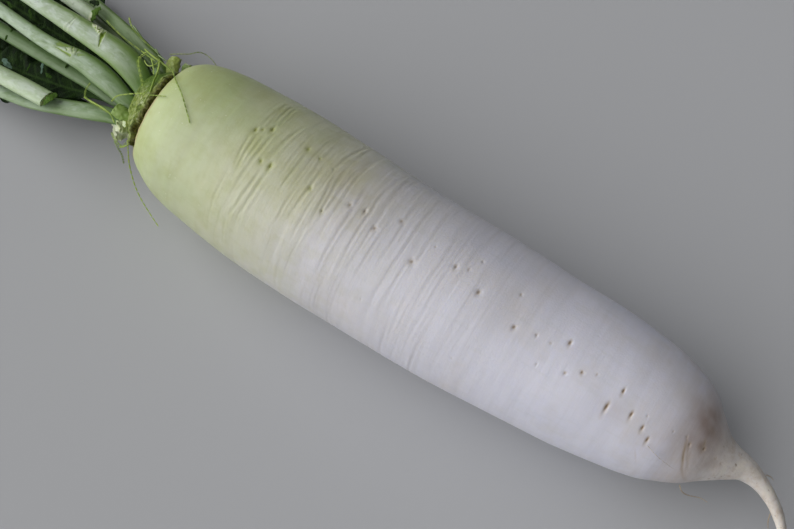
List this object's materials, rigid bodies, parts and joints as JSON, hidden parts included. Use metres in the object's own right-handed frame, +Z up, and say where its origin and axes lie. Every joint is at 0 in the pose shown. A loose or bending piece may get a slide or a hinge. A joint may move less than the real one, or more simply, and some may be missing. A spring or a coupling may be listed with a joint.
{
  "type": "daikon radish",
  "caption": "Long white radish with a pale green shoulder, a curved tail and a trimmed bunch of leaf stalks, lying on its side.",
  "frame": {"origin": "middle of the small flat on the underside where the root rests, below its thickest part", "axes": "+X runs along the root from the leaves to the tail, +Z is up, -Y is the side that the tail curls towards"},
  "size_m": [0.509, 0.0925, 0.0809],
  "materials": {
    "daikon_skin": "smooth, slightly waxy natural radish skin, white with a pale yellow-green shoulder, fine cross wrinkles and small brown pits",
    "crown_tissue": "rough green and brown natural stem tissue with cut scars",
    "stalk_skin": "smooth, ribbed natural leaf stalk, pale green with whitish ridges",
    "leaf_blade": "natural dark green leaf with a pale midrib and veins",
    "loose_fibre": "thin yellow-green natural plant fibre",
    "fine_side_root": "thin off-white natural side root"
  },
  "bodies": {
    "root": {"root": "daikon_skin", "crown": "crown_tissue", "leaf_stalk_1": "stalk_skin", "leaf_stalk_2": "stalk_skin", "leaf_stalk_3": "stalk_skin", "leaf_stalk_4": "stalk_skin", "leaf_stalk_5": "stalk_skin", "leaf_stalk_6": "stalk_skin", "snapped_stalk_1": "stalk_skin", "snapped_stalk_2": "stalk_skin", "stalk_stub_1": "stalk_skin", "stalk_stub_2": "stalk_skin", "stalk_stub_3": "stalk_skin", "stalk_stub_4": "stalk_skin", "stalk_stub_5": "stalk_skin", "stalk_stub_6": "stalk_skin", "stalk_stub_7": "stalk_skin", "stalk_stub_8": "stalk_skin", "young_leaf_1": "leaf_blade", "young_leaf_2": "leaf_blade", "lower_leaf_1": "leaf_blade", "lower_leaf_2": "leaf_blade", "lower_leaf_3": "leaf_blade", "fibre_1": "loose_fibre", "fibre_2": "loose_fibre", "fibre_3": "loose_fibre", "fibre_4": "loose_fibre", "fibre_5": "loose_fibre", "fibre_6": "loose_fibre", "fibre_7": "loose_fibre", "fibre_8": "loose_fibre", "fibre_9": "loose_fibre", "fibre_10": "loose_fibre", "fibre_11": "loose_fibre", "rootlet_1": "fine_side_root", "rootlet_2": "fine_side_root", "rootlet_3": "fine_side_root", "rootlet_4": "fine_side_root", "rootlet_5": "fine_side_root"}
  },
  "joints": []
}
